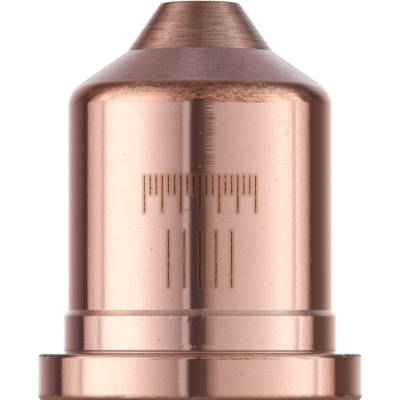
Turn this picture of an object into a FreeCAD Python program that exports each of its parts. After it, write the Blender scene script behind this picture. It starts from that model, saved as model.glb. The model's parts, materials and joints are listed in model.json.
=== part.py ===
"""Plasma torch nozzle, turned from one bar of copper.

It stands on the rear face of its flange with the tip up. The origin is the centre of that face, +Z is
the axis of turning, and lengths are in millimetres. Every size is a cell of the sheet called sizes, and
the sketches and features read it from there.
"""

import FreeCAD
import Part
import Sketcher

import math
import os

# Each size has its name, its value and what it measures. Angles are in degrees.
SIZES = (
    ("overall_length", 29.45, "rear face to tip face"),
    ("body_diameter", 19.6, "outside of the body"),
    ("band_rise", 0.3, "how far the band stands out past the body"),
    ("band_length", 2.78, "front of the flange to the step"),
    ("step_length", 0.5, "length along the axis of the sloped step from band to body"),
    ("relief_depth", 0.1, "depth of the groove at the root of the band"),
    ("relief_width", 0.26, "length along the axis of that groove"),
    ("relief_foot_angle", 45.0, "between the groove's lower side and the axis"),
    ("flange_lip", 1.9, "how far the flange stands out past the band"),
    ("flange_thickness", 3.42, "rear face to the front of the flange"),
    ("flange_front_round", 0.3, "radius of the flange's front edge"),
    ("flange_rear_bevel", 0.25, "chamfer of the flange's rear edge"),
    ("shoulder_angle", 55.0, "between the shoulder cone and the axis"),
    ("shoulder_roll_radius", 2.0, "radius of the turn from body to shoulder"),
    ("tip_cone_length", 3.63, "length along the axis of the tip cone"),
    ("tip_cone_angle", 34.7, "between the tip cone and the axis"),
    ("tip_face_diameter", 5.9, "flat face around the orifice, out to its sharp edge"),
    ("tip_edge_round", 0.2, "radius of the edge of the tip face"),
    ("seat_bore_diameter", 16.4, "bore that takes the swirl ring"),
    ("seat_bore_depth", 4.2, "rear face to the ledge that the swirl ring rests on"),
    ("seat_lead_in", 0.5, "chamfer at the mouth of the seat bore"),
    ("chamber_diameter", 12.4, "chamber around the electrode"),
    ("chamber_turn_radius", 1.2, "radius of the turn from chamber wall to chamber cone"),
    ("chamber_cone_angle", 45.0, "between the chamber cone and the axis"),
    ("throat_diameter", 3.8, "circle where the chamber cone meets the entry cone"),
    ("entry_cone_angle", 30.0, "between the entry cone and the axis"),
    ("orifice_diameter", 1.4, "hole that the plasma leaves by"),
    ("orifice_length", 3.2, "straight part of the hole up to the tip face"),
    ("orifice_exit_bevel", 0.1, "chamfer at the mouth of the orifice"),
)

# What is done to the sharp edges: the feature, its name, its size and the corners that it works on.
EDGE_WORK = (
    ("PartDesign::Fillet", "flange_round", "flange_front_round", "flange front"),
    ("PartDesign::Chamfer", "flange_bevel", "flange_rear_bevel", "flange rear"),
    ("PartDesign::Fillet", "tip_round", "tip_edge_round", "tip edge"),
    ("PartDesign::Chamfer", "seat_chamfer", "seat_lead_in", "seat mouth"),
    ("PartDesign::Chamfer", "exit_chamfer", "orifice_exit_bevel", "orifice exit"),
)

# What stands for a sketch's origin, and the two ends of a piece of its outline.
ORIGIN = -1
START = 1
END = 2

SAME_PLACE = 1e-4


def add_size_sheet(doc):
    sheet = doc.addObject("Spreadsheet::Sheet", "sizes")
    for row, (name, value, meaning) in enumerate(SIZES, start=1):
        sheet.set(f"A{row}", meaning)
        sheet.set(f"B{row}", str(value))
        sheet.setAlias(f"B{row}", name)
    doc.recompute()
    return sheet


def add_section_sketch(body, name):
    """An empty sketch on the body's XZ plane: its x is the radius and its y the height."""
    sketch = body.newObject("Sketcher::SketchObject", name)
    planes = {feature.Role: feature for feature in body.Origin.OriginFeatures}
    sketch.AttachmentSupport = [(planes["XZ_Plane"], "")]
    sketch.MapMode = "FlatFace"
    return sketch


def add_lines(sketch, corners):
    """Lines from corner to corner. A corner is a (radius, height) that the dimensions then settle."""
    points = [FreeCAD.Vector(radius, height, 0) for radius, height in corners]
    return [sketch.addGeometry(Part.LineSegment(first, last)) for first, last in zip(points, points[1:])]


def add_turn(sketch, foot, radius, angle):
    """An arc that climbs straight up from its foot and turns inward by an angle. Also gives its end."""
    circle = Part.Circle(FreeCAD.Vector(foot[0] - radius, foot[1], 0), FreeCAD.Vector(0, 0, 1), radius)
    arc = sketch.addGeometry(Part.ArcOfCircle(circle, 0, math.radians(angle)))
    end = sketch.getPoint(arc, END)
    return arc, (end.x, end.y)


def close_outline(sketch, pieces, turn):
    """Joins each piece to the next in a ring from the sketch's origin. The turn runs smoothly into both."""
    sketch.addConstraint(Sketcher.Constraint("Coincident", ORIGIN, START, pieces[0], START))
    for piece, following in zip(pieces, pieces[1:] + pieces[:1]):
        joint = "Tangent" if turn in (piece, following) else "Coincident"
        sketch.addConstraint(Sketcher.Constraint(joint, piece, END, following, START))


def set_direction(sketch, direction, *pieces):
    for piece in pieces:
        sketch.addConstraint(Sketcher.Constraint(direction, piece))


def bind(sketch, name, formula, *constraint):
    """Adds a dimension that a formula of the sheet drives."""
    index = sketch.addConstraint(Sketcher.Constraint(*constraint))
    sketch.renameConstraint(index, name)
    sketch.setExpression(f"Constraints.{name}", formula)


def bind_diameter(sketch, name, piece):
    """Ends a piece at half a diameter from the axis."""
    radius = sketch.getPoint(piece, END).x
    bind(sketch, name, f"sizes.{name} / 2", "DistanceX", ORIGIN, START, piece, END, radius)


def bind_rise(sketch, name, inner, outer):
    """Sets how much further from the axis one piece ends than another."""
    rise = sketch.getPoint(outer, END).x - sketch.getPoint(inner, END).x
    bind(sketch, name, f"sizes.{name}", "DistanceX", inner, END, outer, END, rise)


def bind_length(sketch, name, lower, upper):
    """Sets how much higher along the axis one piece ends than another."""
    length = sketch.getPoint(upper, END).y - sketch.getPoint(lower, END).y
    bind(sketch, name, f"sizes.{name}", "DistanceY", lower, END, upper, END, length)


def bind_angle(sketch, name, piece):
    """Sets the angle between the axis and a piece that leans inward as it climbs."""
    line = sketch.Geometry[piece]
    run = line.EndPoint - line.StartPoint
    bind(sketch, name, f"(90 + sizes.{name}) * 1 deg", "Angle", piece, math.atan2(run.y, run.x))


def bind_radius(sketch, name, arc):
    bind(sketch, name, f"sizes.{name}", "Radius", arc, sketch.Geometry[arc].Radius)


def ends_of(sketch, pieces):
    """Where each named piece of a settled sketch ends, as radius and height."""
    sketch.Document.recompute()
    return {name: sketch.getPoint(piece, END) for name, piece in pieces.items()}


def draw_outside(body, sizes):
    """Half section of the outside: out along the rear face, up to the tip face and down the axis."""
    sketch = add_section_sketch(body, "outside_section")
    side = sizes.body_diameter / 2
    band = side + sizes.band_rise
    root = band - sizes.relief_depth
    flange = band + sizes.flange_lip
    tip = sizes.tip_face_diameter / 2
    front = sizes.flange_thickness
    band_foot = front + sizes.relief_width
    step_foot = front + sizes.band_length
    step_top = step_foot + sizes.step_length
    top = sizes.overall_length
    cone_foot = top - sizes.tip_cone_length
    body_top = cone_foot - sizes.tip_cone_length

    flange_corners = [(0, 0), (flange, 0), (flange, front), (band, front)]
    rear_face, flange_side, flange_front = add_lines(sketch, flange_corners)
    relief_corners = [(band, front), (root, front + sizes.relief_depth), (root, band_foot), (band, band_foot)]
    relief_foot, relief_side, relief_top = add_lines(sketch, relief_corners)
    band_side, = add_lines(sketch, [(band, band_foot), (band, step_foot)])
    step, body_side = add_lines(sketch, [(band, step_foot), (side, step_top), (side, body_top)])
    roll, roll_end = add_turn(sketch, (side, body_top), sizes.shoulder_roll_radius, sizes.shoulder_angle)
    tip_corners = [roll_end, ((side + tip) / 2, cone_foot), (tip, top), (0, top), (0, 0)]
    shoulder, tip_cone, tip_face, axis_line = add_lines(sketch, tip_corners)

    flange_and_groove = [rear_face, flange_side, flange_front, relief_foot, relief_side, relief_top]
    wall_pieces = [band_side, step, body_side, roll, shoulder, tip_cone, tip_face, axis_line]
    close_outline(sketch, flange_and_groove + wall_pieces, roll)
    set_direction(sketch, "Vertical", flange_side, relief_side, band_side, body_side, axis_line)
    set_direction(sketch, "Horizontal", rear_face, flange_front, relief_top, tip_face)
    sketch.addConstraint(Sketcher.Constraint("Vertical", flange_front, END, band_side, END))

    bind_diameter(sketch, "body_diameter", body_side)
    bind_diameter(sketch, "tip_face_diameter", tip_cone)
    bind_rise(sketch, "band_rise", body_side, band_side)
    bind_rise(sketch, "flange_lip", band_side, flange_side)
    bind_rise(sketch, "relief_depth", relief_side, band_side)
    bind_length(sketch, "flange_thickness", rear_face, flange_side)
    bind_length(sketch, "relief_width", flange_side, relief_side)
    bind_length(sketch, "band_length", flange_side, band_side)
    bind_length(sketch, "step_length", band_side, step)
    bind_length(sketch, "tip_cone_length", shoulder, tip_cone)
    bind_length(sketch, "overall_length", rear_face, tip_cone)
    bind_angle(sketch, "relief_foot_angle", relief_foot)
    bind_angle(sketch, "shoulder_angle", shoulder)
    bind_angle(sketch, "tip_cone_angle", tip_cone)
    bind_radius(sketch, "shoulder_roll_radius", roll)
    corners = {"flange rear": rear_face, "flange front": flange_side, "tip edge": tip_cone}
    return sketch, ends_of(sketch, corners)


def draw_bore(body, sizes):
    """Half section of the bore: out along its mouth, up past the ledge to the orifice and down the axis."""
    sketch = add_section_sketch(body, "bore_section")
    seat = sizes.seat_bore_diameter / 2
    chamber = sizes.chamber_diameter / 2
    throat = sizes.throat_diameter / 2
    orifice = sizes.orifice_diameter / 2
    ledge_height = sizes.seat_bore_depth
    top = sizes.overall_length
    orifice_foot = top - sizes.orifice_length
    throat_height = orifice_foot - throat
    chamber_top = throat_height - chamber

    seat_corners = [(0, 0), (seat, 0), (seat, ledge_height), (chamber, ledge_height), (chamber, chamber_top)]
    mouth, seat_side, ledge, chamber_side = add_lines(sketch, seat_corners)
    turn_sizes = (sizes.chamber_turn_radius, sizes.chamber_cone_angle)
    chamber_turn, turn_end = add_turn(sketch, (chamber, chamber_top), *turn_sizes)
    throat_corners = [turn_end, (throat, throat_height), (orifice, orifice_foot)]
    chamber_cone, entry_cone = add_lines(sketch, throat_corners)
    orifice_corners = [(orifice, orifice_foot), (orifice, top), (0, top), (0, 0)]
    orifice_side, exit_face, axis_line = add_lines(sketch, orifice_corners)

    lower_pieces = [mouth, seat_side, ledge, chamber_side, chamber_turn, chamber_cone, entry_cone]
    close_outline(sketch, lower_pieces + [orifice_side, exit_face, axis_line], chamber_turn)
    set_direction(sketch, "Vertical", seat_side, chamber_side, orifice_side, axis_line)
    set_direction(sketch, "Horizontal", mouth, ledge, exit_face)

    bind_diameter(sketch, "seat_bore_diameter", seat_side)
    bind_diameter(sketch, "chamber_diameter", chamber_side)
    bind_diameter(sketch, "throat_diameter", chamber_cone)
    bind_diameter(sketch, "orifice_diameter", orifice_side)
    bind_length(sketch, "seat_bore_depth", mouth, seat_side)
    bind_length(sketch, "orifice_length", entry_cone, orifice_side)
    bind_length(sketch, "overall_length", mouth, orifice_side)
    bind_angle(sketch, "chamber_cone_angle", chamber_cone)
    bind_angle(sketch, "entry_cone_angle", entry_cone)
    bind_radius(sketch, "chamber_turn_radius", chamber_turn)
    return sketch, ends_of(sketch, {"seat mouth": mouth, "orifice exit": orifice_side})


def revolve(body, kind, name, sketch):
    """Turns a section about the axis, to add it to the body or to cut it out."""
    feature = body.newObject(kind, name)
    feature.Profile = sketch
    feature.ReferenceAxis = (sketch, ["V_Axis"])
    feature.Angle = 360
    sketch.Visibility = False
    body.Document.recompute()
    return feature


def ring_at(shape, corner):
    """The name of the circular edge that a corner of a section turns into."""
    for number, edge in enumerate(shape.Edges, start=1):
        if not isinstance(edge.Curve, Part.Circle):
            continue
        off_radius = abs(edge.Curve.Radius - corner.x)
        off_height = abs(edge.Curve.Center.z - corner.y)
        if max(off_radius, off_height) < SAME_PLACE:
            return f"Edge{number}"
    raise RuntimeError(f"no edge at radius {corner.x} and height {corner.y}")


def work_edge(body, kind, name, size_name, corner):
    """Rounds or chamfers the edge that a corner of a section turns into."""
    before = body.Tip
    feature = body.newObject(kind, name)
    feature.Base = (before, [ring_at(before.Shape, corner)])
    feature.setExpression("Radius" if kind == "PartDesign::Fillet" else "Size", f"sizes.{size_name}")
    body.Document.recompute()


def make_nozzle(doc, sizes):
    body = doc.addObject("PartDesign::Body", "nozzle")
    body.Label = "nozzle"
    body.Placement = FreeCAD.Placement()

    outside, corners = draw_outside(body, sizes)
    blank = revolve(body, "PartDesign::Revolution", "turned_blank", outside)
    bore, bore_corners = draw_bore(body, sizes)
    corners.update(bore_corners)
    bored = revolve(body, "PartDesign::Groove", "stepped_bore", bore)
    if bored.Shape.Volume >= blank.Shape.Volume:
        raise RuntimeError("the bore cuts nothing")

    for kind, name, size_name, corner in EDGE_WORK:
        work_edge(body, kind, name, size_name, corners[corner])
    return body


def check_document(doc):
    for thing in doc.Objects:
        if {"Invalid", "Error"} & set(thing.State):
            raise RuntimeError(f"{thing.Name} failed: {thing.State}")
        if thing.TypeId == "Sketcher::SketchObject" and not thing.FullyConstrained:
            raise RuntimeError(f"{thing.Name} has a size that nothing sets")


def write_part(body):
    shape = body.Shape
    if shape.isNull() or not shape.isValid() or len(shape.Solids) != 1:
        raise RuntimeError(f"{body.Label} is not one sound solid")
    shape.exportStep(f"parts/{body.Label}.step")
    print(f"{body.Label}: {shape.Volume:.1f} cubic mm, {shape.BoundBox.ZLength:.2f} mm long")


document = FreeCAD.newDocument("plasma_torch_nozzle")
nozzle = make_nozzle(document, add_size_sheet(document))
document.recompute()
check_document(document)
os.makedirs("parts", exist_ok=True)
write_part(nozzle)
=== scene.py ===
"""Looks of the plasma torch nozzle: one turned piece of bare copper on a pale floor.

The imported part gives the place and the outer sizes. A finer turned mesh of the same form stands for it,
with the burrs, nicks and torn marks that its edges carry. Lengths in this script are in millimetres until
a mesh or the camera takes them, in metres. Angles round the axis start at the side that faces the camera
and grow towards +X.
"""

import collections
import json
import math

import bpy
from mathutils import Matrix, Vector, noise


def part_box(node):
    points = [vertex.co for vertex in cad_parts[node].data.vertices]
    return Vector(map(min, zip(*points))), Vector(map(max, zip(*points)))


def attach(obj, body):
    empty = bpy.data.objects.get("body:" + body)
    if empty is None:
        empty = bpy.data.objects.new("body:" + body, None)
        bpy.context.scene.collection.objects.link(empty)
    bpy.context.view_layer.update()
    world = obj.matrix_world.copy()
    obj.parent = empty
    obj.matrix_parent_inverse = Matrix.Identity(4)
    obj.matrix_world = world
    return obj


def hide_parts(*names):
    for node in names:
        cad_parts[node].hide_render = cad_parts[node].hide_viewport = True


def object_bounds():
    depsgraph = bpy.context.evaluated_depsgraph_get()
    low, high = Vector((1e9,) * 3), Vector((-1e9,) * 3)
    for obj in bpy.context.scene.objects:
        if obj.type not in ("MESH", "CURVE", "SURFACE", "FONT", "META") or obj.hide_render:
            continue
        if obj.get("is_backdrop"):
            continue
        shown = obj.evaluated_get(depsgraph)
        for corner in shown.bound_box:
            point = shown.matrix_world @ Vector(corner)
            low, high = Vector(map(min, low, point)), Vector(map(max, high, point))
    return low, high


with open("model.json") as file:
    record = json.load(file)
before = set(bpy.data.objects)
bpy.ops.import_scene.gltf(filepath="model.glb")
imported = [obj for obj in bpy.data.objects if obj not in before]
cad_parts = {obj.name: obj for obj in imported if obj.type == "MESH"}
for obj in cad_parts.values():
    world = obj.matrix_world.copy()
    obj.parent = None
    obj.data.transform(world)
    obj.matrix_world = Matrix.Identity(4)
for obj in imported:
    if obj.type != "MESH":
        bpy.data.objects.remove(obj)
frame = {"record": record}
packed_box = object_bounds()

METRE = 1000.0
NODE = "nozzle"

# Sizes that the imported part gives.
NODE_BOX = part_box(NODE)
MOUNTS = {mount["name"]: mount for mount in frame["record"]["mounts"]}
OVERALL_LENGTH = NODE_BOX[1].z * METRE
FLANGE_RADIUS = NODE_BOX[1].x * METRE
FLANGE_THICKNESS = MOUNTS["flange_front"]["pos_m"][2] * METRE
BODY_RADIUS = MOUNTS["body"]["dims"]["r_mm"]
SEAT_RADIUS = MOUNTS["seat_bore"]["dims"]["r_mm"]
CHAMBER_RADIUS = MOUNTS["electrode_chamber"]["dims"]["r_mm"]

# The other sizes of the turned form, as the part has them.
FLANGE_LIP = 1.9
FLANGE_REAR_BEVEL = 0.25
FLANGE_FRONT_ROUND = 0.3
BAND_LENGTH = 2.78
RELIEF_DEPTH = 0.1
RELIEF_WIDTH = 0.26
STEP_LENGTH = 0.5
SHOULDER_ANGLE = math.radians(55)
SHOULDER_ROLL = 2.0
TIP_CONE_LENGTH = 3.63
TIP_CONE_ANGLE = math.radians(34.7)
TIP_FACE_RADIUS = 2.95
TIP_EDGE_ROUND = 0.2
SEAT_DEPTH = 4.2
SEAT_LEAD_IN = 0.5
CHAMBER_TURN = 1.2
CHAMBER_CONE_ANGLE = math.radians(45)
THROAT_RADIUS = 1.9
ENTRY_CONE_ANGLE = math.radians(30)
ORIFICE_RADIUS = 0.7
ORIFICE_LENGTH = 3.2
ORIFICE_BEVEL = 0.1

# Places on the section that follow from them.
BAND_RADIUS = FLANGE_RADIUS - FLANGE_LIP
BAND_FOOT = FLANGE_THICKNESS + RELIEF_WIDTH
BAND_TOP = FLANGE_THICKNESS + BAND_LENGTH
BODY_FOOT = BAND_TOP + STEP_LENGTH
TIP_FOOT = OVERALL_LENGTH - TIP_CONE_LENGTH
TIP_FOOT_RADIUS = TIP_FACE_RADIUS + TIP_CONE_LENGTH * math.tan(TIP_CONE_ANGLE)
SHOULDER_FOOT = TIP_FOOT - (BODY_RADIUS - TIP_FOOT_RADIUS) / math.tan(SHOULDER_ANGLE)
BODY_TOP = SHOULDER_FOOT - SHOULDER_ROLL * math.tan(SHOULDER_ANGLE / 2)
ORIFICE_FOOT = OVERALL_LENGTH - ORIFICE_LENGTH
THROAT_HEIGHT = ORIFICE_FOOT - (THROAT_RADIUS - ORIFICE_RADIUS) / math.tan(ENTRY_CONE_ANGLE)
CHAMBER_TOP = THROAT_HEIGHT - (CHAMBER_RADIUS - THROAT_RADIUS) / math.tan(CHAMBER_CONE_ANGLE)

# Facets round the outside and round the bore. The two meet on the flat faces, where no edge shows it.
OUTSIDE_FACETS = 480
BORE_FACETS = 160
REAR_CHANGE_RADIUS = 10.6
TIP_CHANGE_RADIUS = 1.6

# Radius that wear gives to a sharp edge, and how far the body's foot is drawn down over the step.
WORN_EDGE = 0.03
STEP_EDGE_DRAWN = 0.05

# How far wear moves the surface.
BURR_WAVES = 0.012  # of the flange's edges, in and out
BURR_GRAIN = 0.008  # of the same edges, finer
EDGE_RUBBED = 0.01  # of the same edges, inward
EDGE_RAISED = 0.035  # of the flange's front edge, upward
LIP_HEIGHT = 0.03  # of the band's foot, outward
LIP_WAVES = 0.003  # of that lip, in and out
STEP_WAVES = 0.006  # of the step, in and out
TORN_WAVES = 0.014  # of the roll of the shoulder, in and out

# Nicks and dents: angle in degrees, height, half width along and across, and depth.
DENTS = (
    (-71, 3.30, 0.30, 0.12, 0.10),
    (-66, 3.36, 0.16, 0.10, 0.07),
    (63, 3.34, 0.35, 0.12, 0.09),
    (69, 3.40, 0.22, 0.10, 0.10),
    (58, 3.38, 0.14, 0.08, 0.06),
    (-44.5, 6.45, 0.10, 0.07, 0.03),
    (-12.5, 6.20, 0.18, 0.04, 0.03),
)

# The photograph's view, as its perspective gives it.
CAMERA_DISTANCE = 331.0
CAMERA_HEIGHT = 4.8
AIM_HEIGHT = 14.84
FIELD_WIDTH = 29.67
SENSOR_WIDTH = 36.0


# A corner of the section: where it is, the radius of its edge, in how many bends that is drawn, and the
# longest step and the finish along the straight stretch after it.
Corner = collections.namedtuple("Corner", "radius height edge bends step finish")

# A ring of points of the turned mesh, with the section's outward direction at it.
Ring = collections.namedtuple("Ring", "radius height outward finish facets")


def outside_corners():
    """From the rear face round the flange and up to the tip face."""
    root = BAND_RADIUS - RELIEF_DEPTH
    return [
        Corner(REAR_CHANGE_RADIUS, 0, 0, 1, 0.6, "wall"),
        Corner(FLANGE_RADIUS - FLANGE_REAR_BEVEL, 0, 0.06, 3, 0.05, "wall"),
        Corner(FLANGE_RADIUS, FLANGE_REAR_BEVEL, 0.08, 3, 0.4, "wall"),
        Corner(FLANGE_RADIUS, FLANGE_THICKNESS, FLANGE_FRONT_ROUND, 10, 0.4, "wall"),
        Corner(BAND_RADIUS, FLANGE_THICKNESS, 0.02, 2, 0.05, "groove"),
        Corner(root, FLANGE_THICKNESS + RELIEF_DEPTH, WORN_EDGE, 2, 0.05, "groove"),
        Corner(root, BAND_FOOT, WORN_EDGE, 2, 0.05, "groove"),
        Corner(BAND_RADIUS, BAND_FOOT, WORN_EDGE, 3, 0.3, "wall"),
        Corner(BAND_RADIUS, BAND_TOP, 0.05, 3, 0.1, "step"),
        Corner(BODY_RADIUS, BODY_FOOT - STEP_EDGE_DRAWN, 0.10, 4, 1.5, "wall"),
        Corner(BODY_RADIUS, SHOULDER_FOOT, SHOULDER_ROLL, 28, 0.5, "shoulder"),
        Corner(TIP_FOOT_RADIUS, TIP_FOOT, WORN_EDGE, 2, 0.3, "tip"),
        Corner(TIP_FACE_RADIUS, OVERALL_LENGTH, TIP_EDGE_ROUND, 8, 0.4, "tip"),
    ]


def bore_corners():
    """From the tip face down the orifice and the chamber to the mouth of the seat."""
    return [
        Corner(TIP_CHANGE_RADIUS, OVERALL_LENGTH, 0, 1, 0.3, "tip"),
        Corner(ORIFICE_RADIUS + ORIFICE_BEVEL, OVERALL_LENGTH, 0.02, 2, 0.1, "bore"),
        Corner(ORIFICE_RADIUS, OVERALL_LENGTH - ORIFICE_BEVEL, 0.02, 2, 1.0, "bore"),
        Corner(ORIFICE_RADIUS, ORIFICE_FOOT, 0.05, 2, 1.0, "bore"),
        Corner(THROAT_RADIUS, THROAT_HEIGHT, 0.05, 2, 1.0, "bore"),
        Corner(CHAMBER_RADIUS, CHAMBER_TOP, CHAMBER_TURN, 8, 4.0, "bore"),
        Corner(CHAMBER_RADIUS, SEAT_DEPTH, WORN_EDGE, 3, 1.0, "bore"),
        Corner(SEAT_RADIUS, SEAT_DEPTH, WORN_EDGE, 2, 1.5, "bore"),
        Corner(SEAT_RADIUS, SEAT_LEAD_IN, WORN_EDGE, 2, 0.2, "bore"),
        Corner(SEAT_RADIUS + SEAT_LEAD_IN, 0, WORN_EDGE, 3, 0.8, "bore"),
    ]


def bend_points(before, corner, after):
    """The points of the arc that rounds a corner of the section."""
    place = Vector((corner.radius, corner.height))
    to_before = (Vector((before.radius, before.height)) - place).normalized()
    to_after = (Vector((after.radius, after.height)) - place).normalized()
    turn = math.pi - to_before.angle(to_after)
    if corner.edge == 0 or turn < 1e-6:
        return [place]
    start = place + to_before * corner.edge * math.tan(turn / 2)
    centre = place + (to_before + to_after).normalized() * corner.edge / math.cos(turn / 2)
    arm = start - centre
    left_hand = to_before.cross(to_after) < 0
    points = []
    for bend in range(corner.bends + 1):
        angle = turn * bend / corner.bends * (1 if left_hand else -1)
        cos, sin = math.cos(angle), math.sin(angle)
        points.append(centre + Vector((arm.x * cos - arm.y * sin, arm.x * sin + arm.y * cos)))
    return points


def straight_points(start, end, edge, step):
    """Points between two bends: one close to each bend keeps the shading of the stretch even."""
    length = (end - start).length
    margin = min(max(edge, WORN_EDGE), length / 4)
    inner = length - 2 * margin
    count = max(1, math.ceil(inner / step))
    reaches = [margin + inner * number / count for number in range(count + 1)]
    return [start.lerp(end, reach / length) for reach in reaches]


def section_rings():
    """The rings of the closed section, outside first and then the bore."""
    outside, bore = outside_corners(), bore_corners()
    corners = outside + bore
    facets = [OUTSIDE_FACETS] * len(outside) + [BORE_FACETS] * len(bore)
    total = len(corners)
    arcs = [bend_points(corners[i - 1], corners[i], corners[(i + 1) % total]) for i in range(total)]
    points = []
    for i, corner in enumerate(corners):
        following = arcs[(i + 1) % total][0]
        run = straight_points(arcs[i][-1], following, min(corner.edge, 0.1), corner.step)
        points += [(point, corners[i - 1].finish, facets[i]) for point in arcs[i][:-1]]
        points += [(point, corner.finish, facets[i]) for point in arcs[i][-1:] + run]
    rings = []
    for i, (point, finish, count) in enumerate(points):
        along = points[(i + 1) % len(points)][0] - points[i - 1][0]
        outward = Vector((along.y, -along.x)).normalized()
        rings.append(Ring(point.x, point.y, outward, finish, count))
    return rings


def near(value, middle, half_width):
    """One at the middle, falling smoothly to nothing a few half widths away."""
    return math.exp(-((value - middle) / half_width) ** 2)


def wear(ring, angle, place):
    """How far out of the turned form the worn surface lies at a place, in millimetres."""
    out = 0.0
    if ring.finish == "bore" or ring.facets == BORE_FACETS:
        return out
    if ring.radius > BAND_RADIUS + 0.3:
        front_edge = near(ring.height, FLANGE_THICKNESS, 0.16)
        rear_edge = near(ring.height, FLANGE_REAR_BEVEL, 0.12) if ring.radius > FLANGE_RADIUS - 0.3 else 0
        burr = noise.noise(place * 2.3) * BURR_WAVES + noise.noise(place * 6.0) * BURR_GRAIN
        out += (front_edge + rear_edge) * (burr - EDGE_RUBBED)
        out += front_edge * EDGE_RAISED * max(0.0, ring.outward.y)
    if abs(ring.height - BAND_FOOT) < 0.4 and ring.radius < BAND_RADIUS + 0.05:
        lip = near(ring.height, BAND_FOOT + 0.05, 0.07)
        out += lip * (LIP_HEIGHT + LIP_WAVES * noise.noise(place * 3.0))
    if abs(ring.height - BAND_TOP - STEP_LENGTH / 2) < 0.6:
        out += noise.noise(place * 4.0) * STEP_WAVES
    if BODY_TOP < ring.height < TIP_FOOT - 0.2:
        torn = near(ring.height, BODY_TOP + 0.55, 0.45)
        streaks = Vector((place.x * 0.8, place.y * 0.8, place.z * 7))
        out += torn * noise.noise(streaks) * TORN_WAVES
    for degrees, height, half_width, half_height, depth in DENTS:
        if abs(ring.height - height) > 3 * half_height:
            continue
        sideways = (angle - math.radians(degrees)) * ring.radius
        out -= depth * near(sideways, 0, half_width) * near(ring.height, height, half_height)
    return out


def ring_points(ring):
    """The points of a ring with its wear, in metres."""
    points = []
    for number in range(ring.facets):
        angle = 2 * math.pi * number / ring.facets
        angle = angle - 2 * math.pi if angle > math.pi else angle
        across = Vector((math.sin(angle), -math.cos(angle), 0))
        place = across * ring.radius + Vector((0, 0, ring.height))
        out = wear(ring, angle, place)
        place += across * ring.outward.x * out + Vector((0, 0, ring.outward.y * out))
        points.append(place / METRE)
    return points


def join_rings(first, first_count, second, second_count):
    """Faces between two rings of points, given by where each starts and how many points it has."""
    if first_count == second_count:
        for i in range(first_count):
            j = (i + 1) % first_count
            yield first + i, first + j, second + j, second + i
        return
    coarse = min(first_count, second_count)
    share = max(first_count, second_count) // coarse
    second_is_fine = second_count > first_count
    few, many = (first, second) if second_is_fine else (second, first)
    for i in range(coarse):
        left, right = few + i, few + (i + 1) % coarse
        fan = [many + (i * share + k) % (coarse * share) for k in range(share + 1)]
        faces = [(left, fan[k], fan[k + 1]) for k in range(share // 2)]
        faces += [(right, fan[k], fan[k + 1]) for k in range(share // 2, share)]
        faces.append((left, fan[share // 2], right))
        for face in faces:
            yield tuple(reversed(face)) if second_is_fine else face


def make_turned_piece(materials):
    """The closed turned mesh. Each stretch of the section takes the material of its finish."""
    rings = section_rings()
    vertices, starts = [], []
    for ring in rings:
        starts.append(len(vertices))
        vertices += ring_points(ring)
    faces, finishes = [], []
    for i, ring in enumerate(rings):
        following = (i + 1) % len(rings)
        band = list(join_rings(starts[i], ring.facets, starts[following], rings[following].facets))
        faces += band
        finishes += [list(materials).index(ring.finish)] * len(band)
    mesh = bpy.data.meshes.new("turned_copper")
    mesh.from_pydata(vertices, [], faces)
    for material in materials.values():
        mesh.materials.append(material)
    mesh.polygons.foreach_set("material_index", finishes)
    mesh.polygons.foreach_set("use_smooth", [True] * len(faces))
    mesh.update()
    piece = bpy.data.objects.new("turned_copper", mesh)
    bpy.context.scene.collection.objects.link(piece)
    return piece


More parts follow.
